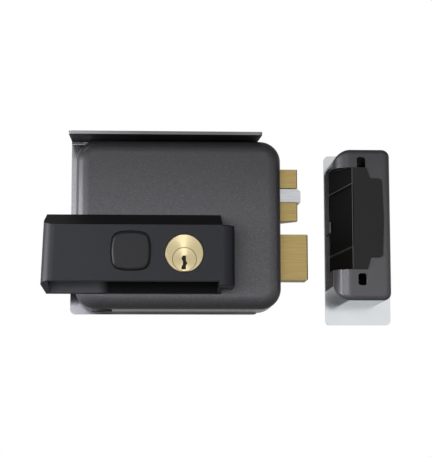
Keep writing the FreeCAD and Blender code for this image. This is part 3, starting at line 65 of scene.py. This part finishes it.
class Nodes:
    """A node tree with short ways to add to it."""

    def __init__(self, tree):
        self.tree = tree

    def node(self, kind, **settings):
        node = self.tree.nodes.new(kind)
        for key, value in settings.items():
            setattr(node, key, value)
        return node

    def link(self, source, target):
        self.tree.links.new(source, target)

    def multiply(self, first, second):
        product = self.node("ShaderNodeMix", data_type="RGBA", blend_type="MULTIPLY")
        product.inputs["Factor"].default_value = 1.0
        self.link(first, product.inputs[MIX_FIRST])
        self.link(second, product.inputs[MIX_SECOND])
        return product.outputs[MIX_RESULT]

    def ramp(self, source, stops):
        """Colours at places from 0 to 1."""
        ramp = self.node("ShaderNodeValToRGB")
        elements = ramp.color_ramp.elements
        while len(elements) < len(stops):
            elements.new(0.5)
        for element, (position, colour) in zip(elements, stops):
            element.position = position
            element.color = colour
        self.link(source, ramp.inputs["Fac"])
        return ramp.outputs["Color"]

    def grey_ramp(self, source, stops):
        return self.ramp(source, [(position, grey(level)) for position, level in stops])

    def share(self, source, start, end):
        """0 to 1 as a value goes from start to end."""
        mapper = self.node("ShaderNodeMapRange")
        mapper.inputs["From Min"].default_value = start
        mapper.inputs["From Max"].default_value = end
        self.link(source, mapper.inputs["Value"])
        return mapper.outputs["Result"]

    def span(self, source, start, end):
        """Start to end as a value goes from 0 to 1."""
        mapper = self.node("ShaderNodeMapRange")
        mapper.inputs["To Min"].default_value = start
        mapper.inputs["To Max"].default_value = end
        self.link(source, mapper.inputs["Value"])
        return mapper.outputs["Result"]


class Finish(Nodes):
    """A material under construction, with its Principled shader."""

    def __init__(self, name, colour, metallic, roughness, **extra):
        self.material = bpy.data.materials.new(name)
        self.material.use_nodes = True
        super().__init__(self.material.node_tree)
        self.shader = self.tree.nodes["Principled BSDF"]
        self.set("Base Color", colour)
        self.set("Metallic", metallic)
        self.set("Roughness", roughness)
        for socket, value in extra.items():
            self.set(socket.replace("_", " "), value)

    def set(self, socket, value):
        self.shader.inputs[socket].default_value = value

    def drive(self, socket, source):
        self.link(source, self.shader.inputs[socket])

    def coordinates(self, stretch=(1, 1, 1)):
        """Object coordinates, scaled per axis."""
        mapping = self.node("ShaderNodeMapping")
        mapping.inputs["Scale"].default_value = stretch
        self.link(self.node("ShaderNodeTexCoord").outputs["Object"], mapping.inputs["Vector"])
        return mapping.outputs["Vector"]

    def noise(self, scale, stretch=(1, 1, 1), detail=2.0, roughness=0.5):
        texture = self.node("ShaderNodeTexNoise")
        texture.inputs["Scale"].default_value = scale
        texture.inputs["Detail"].default_value = detail
        texture.inputs["Roughness"].default_value = roughness
        self.link(self.coordinates(stretch), texture.inputs["Vector"])
        return texture.outputs["Fac"]

    def along(self, axis, start, end):
        """0 to 1 between two places on an axis of the lock, in metres."""
        split = self.node("ShaderNodeSeparateXYZ")
        self.link(self.coordinates(), split.inputs["Vector"])
        return self.share(split.outputs[axis], start, end)

    def bump(self, height, distance, strength):
        node = self.node("ShaderNodeBump")
        node.inputs["Distance"].default_value = distance
        node.inputs["Strength"].default_value = strength
        self.link(height, node.inputs["Height"])
        self.drive("Normal", node.outputs["Normal"])


# Materials

def plain(name, colour, metallic, roughness, **extra):
    return Finish(name, colour, metallic, roughness, **extra).material


def painted():
    """Dark grey powder coat with a fine mica grain, with painted shade darkening it towards the top and
    much more towards the bottom.
    """
    finish = Finish("powder coat with painted shade", srgb(62, 61, 64), metallic=0.0, roughness=0.42,
                    Coat_Weight=0.35, Coat_Roughness=0.14)
    grain = finish.noise(scale=1500, detail=3.0, roughness=0.7)
    speckle = finish.ramp(grain, [
        (0.3, srgb(52, 51, 53)),
        (0.55, srgb(66, 65, 68)),
        (0.75, srgb(92, 91, 96)),
    ])
    height = finish.along("Z", start=-0.06, end=0.05)
    # Painted shade: the base colour is multiplied darker towards the top and much darker at the bottom,
    # in place of the light's fall-off.
    painted_shade = finish.grey_ramp(height, [
        (0.0, 0.15),
        (0.05, 0.35),
        (0.11, 1.0),
        (0.55, 0.88),
        (0.8, 0.55),
        (1.0, 0.35),
    ])
    finish.drive("Base Color", finish.multiply(speckle, painted_shade))
    finish.drive("Roughness", finish.span(grain, 0.34, 0.52))
    finish.bump(grain, distance=0.06 * MM, strength=0.6)
    return finish.material


def clouded(finish):
    """Zinc's soft clouding, which makes a finish glossier here and duller there."""
    cloud = finish.noise(scale=60, detail=4.0)
    finish.drive("Roughness", finish.span(cloud, 0.13, 0.18))
    return cloud


def zinc():
    """Bright zinc plate."""
    bright = srgb(230, 233, 235)
    finish = Finish("zinc plate", bright, metallic=1.0, roughness=0.16)
    cloud = clouded(finish)
    finish.drive("Base Color", finish.ramp(cloud, [(0.3, srgb(222, 227, 230)), (0.7, bright)]))
    return finish.material


def plate_painted_light_zinc():
    """The mounting plate's zinc, with painted light brightening it towards its left edge and painted
    shade darkening it under the case.
    """
    finish = Finish("plate zinc with painted light and shade", srgb(150, 150, 154), metallic=1.0, roughness=0.16)
    across = finish.along("X", start=-0.078, end=0.065)
    # Painted light and shade across the plate: bright at the left edge, darkest under the case, a little
    # brighter again at the right end.
    finish.drive("Base Color", finish.ramp(across, [
        (0.0, srgb(192, 193, 199)),
        (0.2, srgb(170, 170, 176)),
        (0.45, srgb(128, 128, 130)),
        (0.8, srgb(124, 124, 126)),
        (1.0, srgb(150, 150, 153)),
    ]))
    clouded(finish)
    return finish.material


def satin_black(name, shade, roughness, shine):
    """Moulded black plastic with a faint texture."""
    finish = Finish(name, srgb(*shade), metallic=0.0, roughness=roughness, Specular_IOR_Level=shine)
    finish.bump(finish.noise(scale=2600), distance=0.02 * MM, strength=0.5)
    return finish.material


def brushed(name, colour, dark, roughness, stretch):
    """Metal with fine drawn lines. stretch is small along the lines."""
    finish = Finish(name, colour, metallic=1.0, roughness=roughness)
    lines = finish.noise(scale=1400, stretch=stretch, detail=3.0, roughness=0.6)
    finish.drive("Base Color", finish.ramp(lines, [(0.25, dark), (0.75, colour)]))
    finish.drive("Roughness", finish.span(lines, roughness + 0.08, roughness - 0.05))
    finish.bump(lines, distance=0.02 * MM, strength=0.4)
    return finish.material


def turned_brass():
    """Pale brass faced off in a lathe."""
    finish = Finish("turned brass", srgb(238, 221, 174), metallic=1.0, roughness=0.3, Anisotropic=0.7)
    tangent = finish.node("ShaderNodeTangent", direction_type="RADIAL", axis="Y")
    finish.drive("Tangent", tangent.outputs["Tangent"])
    return finish.material


def guard_painted_light_inside():
    """The guard's inner faces, with painted light making them grey at the finger opening and painted
    shade making them near black beside it.
    """
    finish = Finish("painted light and shade in cover", srgb(10, 10, 10), metallic=0.0, roughness=0.5, Specular_IOR_Level=0.1)
    across = finish.along("X", start=-0.041, end=-0.035)
    finish.drive("Base Color", finish.ramp(across, [(0.0, srgb(60, 60, 64)), (1.0, srgb(6, 6, 6))]))
    return finish.material


LINES_ALONG_X = (0.04, 1, 1)
LONG_LINES_ALONG_X = (0.05, 1, 1)
LINES_ALONG_Y = (1, 0.1, 1)
TURNS_OF_WIRE = (1, 3, 1)

PAINT = painted()
ZINC = zinc()
# Zinc with painted light and shade, for the mounting plate.
PLATE_PAINTED_LIGHT_ZINC = plate_painted_light_zinc()
HOOD_SHADE = plain("zinc in shade", srgb(30, 30, 31), 0.0, 0.5, Specular_IOR_Level=0.1)
COVER = satin_black("satin black cover", (27, 28, 32), 0.4, 0.32)
# Darker black, painted shade for the guard's upward faces.
COVER_PAINTED_SHADE_TOP = satin_black("painted shade on the cover's top", (12, 12, 13), 0.5, 0.12)
# Painted light and shade for the guard's inner faces.
COVER_PAINTED_LIGHT_INSIDE = guard_painted_light_inside()
GLOSS = satin_black("black lead-in", (14, 14, 14), 0.4, 0.4)
# Near-black painted shade, for faces that lie in shade.
SHADE = satin_black("black painted shade", (6, 6, 6), 0.6, 0.1)
BUTTON = satin_black("button black", (24, 24, 26), 0.38, 0.35)
BOLT_BRASS = brushed("brushed brass", srgb(210, 186, 126), srgb(190, 165, 106), 0.36, LINES_ALONG_X)
BRIGHT = brushed("bright nickel", srgb(228, 229, 232), srgb(210, 212, 215), 0.24, LONG_LINES_ALONG_X)
STEEL = brushed("machined steel", srgb(190, 191, 194), srgb(150, 151, 154), 0.35, LINES_ALONG_Y)
CYLINDER = turned_brass()
SPRING = plain("spring wire", srgb(150, 151, 154), 1.0, 0.3)
COPPER = brushed("copper winding", srgb(190, 110, 62), srgb(120, 62, 30), 0.35, TURNS_OF_WIRE)
NYLON = plain("natural nylon", srgb(205, 203, 192), 0.0, 0.45)
RUBBER = plain("black rubber", srgb(26, 26, 26), 0.0, 0.6)

FINISHES = {
    "mounting_plate": PLATE_PAINTED_LIGHT_ZINC,
    "lock_base": ZINC,
    "case_cover": PAINT,
    "bolt_guide": STEEL,
    "guard_cover": COVER,
    "push_button": BUTTON,
    "button_pin": STEEL,
    "button_spring": SPRING,
    "cylinder_body": CYLINDER,
    "cylinder_plug": CYLINDER,
    "plug_gear": STEEL,
    "deadbolt": BOLT_BRASS,
    "deadbolt_guide_pin": STEEL,
    "latch_bolt": BOLT_BRASS,
    "latch_rods": STEEL,
    "latch_springs": SPRING,
    "cocking_bolt": BRIGHT,
    "cocking_collar": STEEL,
    "cocking_spring": SPRING,
    "spring_bracket": ZINC,
    "magnet_yoke": STEEL,
    "coil_bobbin": NYLON,
    "coil_winding": COPPER,
    "armature_pin": STEEL,
    "armature_lever": ZINC,
    "terminal_block": NYLON,
    "terminal_screws": STEEL,
    "cable_gland": RUBBER,
    "case_screws": STEEL,
    "guard_screws": STEEL,
    "cylinder_screws": STEEL,
    "keeper_plate": ZINC,
    "keeper_box": PAINT,
    "keeper_insert": GLOSS,
    "keeper_screws": STEEL,
}
for name, material in FINISHES.items():
    piece = NODES[name]
    piece.data.materials.clear()
    piece.data.materials.append(material)


# Faces of a piece given another material: painted light and shade inside the guard; painted shade on the
# guard's top, the insert's ramp, the keeper's left wall and the hood's underside; plain bright zinc on
# the keeper box's bottom face and on the plate's back and upward faces

# How far a face's normal has to lie along an axis
SLOPED = 0.3
TURNED = 0.5
FACING = 0.9
SQUARE = 0.99

GUARD_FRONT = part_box("guard_cover")[0].y
GUARD_WALL = 5 * MM
KEEPER_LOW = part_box("keeper_box")[0]
KEEPER_EDGE = 1 * MM
KEEPER_WALL = 3 * MM
HOOD_LEVEL = 50 * MM


def repaint(name, material, chosen):
    """Give the faces of a node that chosen(centre, normal) picks another material."""
    mesh = NODES[name].data
    place = NODES[name].matrix_world
    mesh.materials.append(material)
    for face in mesh.polygons:
        if chosen(place @ face.center, place.to_3x3() @ face.normal):
            face.material_index = len(mesh.materials) - 1


# Painted light and shade on the guard's front-facing inner faces, behind its front wall.
repaint("guard_cover", COVER_PAINTED_LIGHT_INSIDE,
        lambda centre, normal: normal.y < -FACING and centre.y > GUARD_FRONT + GUARD_WALL)
# Painted shade: the guard's upward faces in a darker black.
repaint("guard_cover", COVER_PAINTED_SHADE_TOP, lambda centre, normal: normal.z > SLOPED)
# Painted shade: the insert's left-facing ramp in near black.
repaint("keeper_insert", SHADE, lambda centre, normal: normal.x < -TURNED)
repaint("keeper_box", ZINC,
        lambda centre, normal: normal.z < -SQUARE and centre.z < KEEPER_LOW.z + KEEPER_EDGE)
# Painted shade: the keeper box's outer left wall in near black.
repaint("keeper_box", SHADE,
        lambda centre, normal: normal.x < -SQUARE and centre.x < KEEPER_LOW.x + KEEPER_WALL)
# Painted shade: the hood's downward faces in dark grey instead of zinc.
repaint("mounting_plate", HOOD_SHADE,
        lambda centre, normal: normal.z < -FACING and centre.z > HOOD_LEVEL)
# The plate's back and upward faces get plain bright zinc, without the painted light and shade.
repaint("mounting_plate", ZINC, lambda centre, normal: normal.y > FACING or normal.z > FACING)


# Small flat pieces that the solids leave to the scene

def flat_piece(name, points, faces, material, body):
    mesh = bpy.data.meshes.new(name)
    mesh.from_pydata(points, [], faces)
    mesh.materials.append(material)
    piece = bpy.data.objects.new(name, mesh)
    scene.collection.objects.link(piece)
    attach(piece, body)


def strip(name, corners, material, body):
    """A four-sided piece from its corners, in order."""
    flat_piece(name, corners, [(0, 1, 2, 3)], material, body)


def panel(name, across, depth, levels, material, body):
    """An upright rectangle facing the front."""
    left, right = across
    low, high = levels
    strip(name, [(left, depth, low), (right, depth, low), (right, depth, high), (left, depth, high)],
          material, body)


RING_STEPS = 64


def ring(name, centre, radius, width, material, body):
    """A flat ring facing the front."""
    points = []
    faces = []
    for turn in range(RING_STEPS):
        angle = 2 * math.pi * turn / RING_STEPS
        for reach in (radius - width / 2, radius + width / 2):
            points.append(centre + Vector((reach * math.cos(angle), 0, reach * math.sin(angle))))
        after = (turn + 1) % RING_STEPS
        faces.append((2 * turn, 2 * turn + 1, 2 * after + 1, 2 * after))
    flat_piece(name, points, faces, material, body)


# Groove round the plug, and the shade in its keyway

PLUG_LOW, PLUG_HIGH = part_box("cylinder_plug")
PLUG_ACROSS = (PLUG_LOW.x + PLUG_HIGH.x) / 2
PLUG_LEVEL = (PLUG_LOW.z + PLUG_HIGH.z) / 2
PLUG_RADIUS = (PLUG_HIGH.x - PLUG_LOW.x) / 2
PLUG_FRONT = PLUG_LOW.y
GROOVE_PROUD = 0.02 * MM
GROOVE_OUTSIDE = 0.03 * MM
GROOVE_WIDTH = 0.34 * MM
KEYWAY_HALF = 1.85 * MM
KEYWAY_BELOW = 6.1 * MM
KEYWAY_ABOVE = 2.4 * MM
KEYWAY_SUNK = 0.5 * MM
GROOVE = plain("plug groove", srgb(66, 52, 28), 0.0, 0.6)
KEYWAY = plain("keyway shade", srgb(16, 12, 8), 0.0, 0.7)

ring("plug_groove", Vector((PLUG_ACROSS, PLUG_FRONT - GROOVE_PROUD, PLUG_LEVEL)),
     PLUG_RADIUS + GROOVE_OUTSIDE, GROOVE_WIDTH, GROOVE, "plug")
panel("keyway_shade", (PLUG_ACROSS - KEYWAY_HALF, PLUG_ACROSS + KEYWAY_HALF), PLUG_FRONT + KEYWAY_SUNK,
      (PLUG_LEVEL - KEYWAY_BELOW, PLUG_LEVEL + KEYWAY_ABOVE), KEYWAY, "plug")


# Painted highlight lines on the keeper's insert along its ridge and steps, and a painted shadow line
# under its lower step. The insert's ramp runs from its ridge back to its left edge

INSERT_LOW, INSERT_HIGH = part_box("keeper_insert")
RIDGE_ACROSS = INSERT_LOW.x + 11.3 * MM
RAMP_OUT = Vector((-0.045 * MM, -0.022 * MM, 0))
RAMP_FRONT = Vector((RIDGE_ACROSS, INSERT_LOW.y, 0)) + RAMP_OUT
RAMP_REAR = Vector((INSERT_LOW.x, INSERT_HIGH.y, 0)) + RAMP_OUT
RAMP_LEAN = 4.2 * MM
RIDGE_PROUD = 0.03 * MM
RIDGE_LEFT = 0.05 * MM
RIDGE_RIGHT = 0.3 * MM
RIDGE_END = 0.2 * MM
PAINTED_HIGHLIGHT_BREADTH = 0.3 * MM
PAINTED_SHADOW_BREADTH = 0.7 * MM
UPPER_LEVEL = 21.3 * MM
LOWER_LEVEL = -18.0 * MM
PAINTED_SHADOW_LEVEL = LOWER_LEVEL - 1.0 * MM
# Painted highlight and painted shadow colours for the insert's edge lines.
EDGE_HIGHLIGHT = plain("lead-in painted edge highlight", srgb(70, 70, 72), 0.0, 0.5)
EDGE_SHADOW = plain("lead-in painted edge shadow", srgb(5, 5, 5), 0.0, 0.8)


def ramp_painted_line(name, level, width, material):
    """A painted line across the ramp, lower at its rear end."""
    front = RAMP_FRONT + Vector((0, 0, level))
    rear = RAMP_REAR + Vector((0, 0, level - RAMP_LEAN))
    up = Vector((0, 0, width))
    strip(name, [rear, front, front + up, rear + up], material, "root")


panel("insert_ridge_highlight", (RIDGE_ACROSS - RIDGE_LEFT, RIDGE_ACROSS + RIDGE_RIGHT),
      INSERT_LOW.y - RIDGE_PROUD, (INSERT_LOW.z + RIDGE_END, INSERT_HIGH.z - RIDGE_END),
      EDGE_HIGHLIGHT, "root")
ramp_painted_line("insert_upper_highlight", UPPER_LEVEL, PAINTED_HIGHLIGHT_BREADTH, EDGE_HIGHLIGHT)
ramp_painted_line("insert_lower_highlight", LOWER_LEVEL, PAINTED_HIGHLIGHT_BREADTH, EDGE_HIGHLIGHT)
ramp_painted_line("insert_lower_shadow", PAINTED_SHADOW_LEVEL, PAINTED_SHADOW_BREADTH, EDGE_SHADOW)


# Camera, where the photograph was taken from: place in metres, then turn, tilt and roll in degrees

CAMERA_PLACE = (-0.0143, -0.9306, -0.1207)
CAMERA_TURN = (2.93, 7.31, -0.10)
FOCAL_PIXELS = 1452.0
PHOTO_WIDTH_PIXELS = 432
SENSOR_WIDTH = 36.0


def photo_camera():
    data = bpy.data.cameras.new("photo camera")
    data.sensor_fit = "HORIZONTAL"
    data.sensor_width = SENSOR_WIDTH
    data.lens = FOCAL_PIXELS / PHOTO_WIDTH_PIXELS * SENSOR_WIDTH
    camera = bpy.data.objects.new("photo camera", data)
    yaw, pitch, roll = [math.radians(angle) for angle in CAMERA_TURN]
    forward = Vector((math.sin(yaw) * math.cos(pitch), math.cos(yaw) * math.cos(pitch), math.sin(pitch)))
    level = Vector((math.cos(yaw), -math.sin(yaw), 0))
    upright = level.cross(forward)
    right = level * math.cos(roll) + upright * math.sin(roll)
    up = upright * math.cos(roll) - level * math.sin(roll)
    turn = Matrix((right, up, -forward)).transposed()
    camera.matrix_world = Matrix.Translation(CAMERA_PLACE) @ turn.to_4x4()
    scene.collection.objects.link(camera)
    scene.camera = camera


photo_camera()


# Lamps at the left and in front

COOL = (0.94, 0.95, 1.0)
NEUTRAL = (0.97, 0.97, 1.0)


def soft_box(name, place, target, size, watts, colour):
    data = bpy.data.lights.new(name, "AREA")
    data.shape = "RECTANGLE"
    data.size, data.size_y = size
    data.energy = watts
    data.color = colour
    lamp = bpy.data.objects.new(name, data)
    aim = Vector(target) - Vector(place)
    lamp.matrix_world = Matrix.Translation(place) @ aim.to_track_quat("-Z", "Y").to_matrix().to_4x4()
    scene.collection.objects.link(lamp)
    return lamp


soft_box("left box", place=(-1.3, -0.3, -0.2), target=(0, -0.05, 0), size=(1.2, 0.9),
         watts=33, colour=COOL)
soft_box("left front strip", place=(-0.62, -1.22, 0.1), target=(0, 0, 0), size=(0.9, 0.12),
         watts=2.6, colour=NEUTRAL)
front_box = soft_box("front box", place=(-0.1, -0.8, -0.1), target=(0, 0, -0.02), size=(0.6, 0.3),
                     watts=5, colour=NEUTRAL)
front_box.visible_glossy = False


# Surroundings: brightest at the horizon, and brighter in front and behind than at the sides

WHITE = (1, 1, 1, 1)


def surroundings():
    world = bpy.data.worlds.new("studio")
    world.use_nodes = True
    scene.world = world
    shading = Nodes(world.node_tree)
    split = shading.node("ShaderNodeSeparateXYZ")
    shading.link(shading.node("ShaderNodeTexCoord").outputs["Generated"], split.inputs["Vector"])
    depth = shading.grey_ramp(shading.share(split.outputs["Y"], -1.0, 1.0), [
        (0.0, 1.0),
        (0.15, 0.75),
        (0.4, 0.45),
        (0.65, 0.4),
        (0.85, 0.85),
    ])
    height = shading.grey_ramp(shading.share(split.outputs["Z"], -1.0, 1.0), [
        (0.1, 0.2),
        (0.42, 0.8),
        (0.52, 1.0),
        (0.57, 0.85),
        (0.7, 0.35),
        (0.85, 0.3),
    ])
    background = world.node_tree.nodes["Background"]
    shading.link(shading.multiply(depth, height), background.inputs["Color"])
    white = shading.node("ShaderNodeBackground")
    white.inputs["Color"].default_value = WHITE
    choice = shading.node("ShaderNodeMixShader")
    shading.link(shading.node("ShaderNodeLightPath").outputs["Is Camera Ray"], choice.inputs["Fac"])
    shading.link(background.outputs["Background"], choice.inputs[1])
    shading.link(white.outputs["Background"], choice.inputs[2])
    shading.link(choice.outputs["Shader"], world.node_tree.nodes["World Output"].inputs["Surface"])


surroundings()


# Floor

FLOOR_HALF = 2.0
FLOOR_LEVEL = -0.3
FLOOR_SEEN = 0.94
FLOOR_MIRRORED = 0.2


def floor():
    """A pale floor below, white to the camera wherever no shadow falls on it."""
    mesh = bpy.data.meshes.new("floor")
    corners = [
        (-FLOOR_HALF, -FLOOR_HALF, FLOOR_LEVEL),
        (FLOOR_HALF, -FLOOR_HALF, FLOOR_LEVEL),
        (FLOOR_HALF, FLOOR_HALF, FLOOR_LEVEL),
        (-FLOOR_HALF, FLOOR_HALF, FLOOR_LEVEL),
    ]
    mesh.from_pydata(corners, [], [(0, 1, 2, 3)])
    ground = bpy.data.objects.new("floor", mesh)
    scene.collection.objects.link(ground)
    finish = Finish("pale floor", grey(0.12), metallic=0.0, roughness=0.8, Specular_IOR_Level=0.0)
    finish.set("Emission Color", WHITE)
    path = finish.node("ShaderNodeLightPath")
    total = finish.node("ShaderNodeMath", operation="ADD")
    finish.link(finish.span(path.outputs["Is Camera Ray"], 0.0, FLOOR_SEEN), total.inputs[0])
    finish.link(finish.span(path.outputs["Is Glossy Ray"], 0.0, FLOOR_MIRRORED), total.inputs[1])
    finish.drive("Emission Strength", total.outputs["Value"])
    mesh.materials.append(finish.material)


floor()
